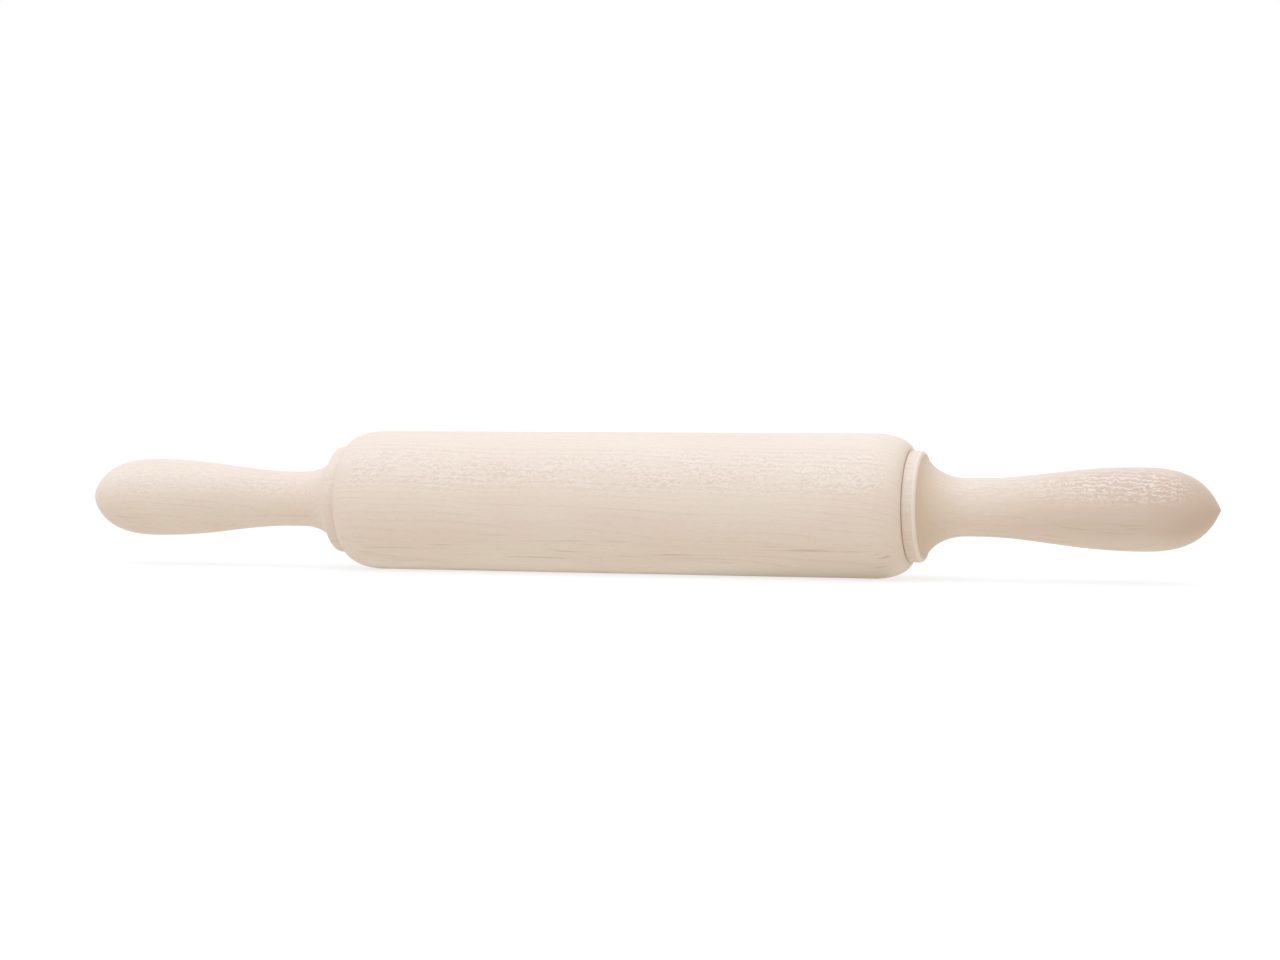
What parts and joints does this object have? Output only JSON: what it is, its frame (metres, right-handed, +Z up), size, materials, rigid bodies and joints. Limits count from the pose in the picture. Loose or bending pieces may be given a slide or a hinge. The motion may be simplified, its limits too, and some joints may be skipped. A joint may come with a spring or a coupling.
{
  "type": "rolling pin",
  "caption": "Revolving wooden rolling pin: a barrel with rounded shoulders turns on a steel axle between two collared, swelling handles.",
  "frame": {"origin": "middle of the pin, on the axle's axis", "axes": "+X along the axle towards the right handle, +Z up from the surface that the barrel lies on"},
  "size_m": [0.497, 0.0598, 0.0598],
  "materials": {
    "barrel_wood": "fine sanded, unfinished",
    "handle_wood": "fine sanded, unfinished",
    "axle_steel": "ground",
    "zinc_plate": "bright zinc plated",
    "bush_nylon": "moulded, natural",
    "insert_brass": "machined"
  },
  "bodies": {
    "handles": {"handle_left": "handle_wood", "handle_right": "handle_wood", "axle_rod": "axle_steel", "thrust_washer_left": "zinc_plate", "thrust_washer_right": "zinc_plate", "lock_nut_left": "zinc_plate", "lock_nut_right": "zinc_plate", "handle_insert_left": "insert_brass", "handle_insert_right": "insert_brass"},
    "barrel": {"barrel": "barrel_wood", "bush_left": "bush_nylon", "bush_right": "bush_nylon"}
  },
  "joints": [
    {"name": "barrel_spin", "type": "hinge", "parent": "handles", "child": "barrel", "pos_m": [0, 0, 0], "axis": [1, 0, 0], "continuous": true}
  ]
}
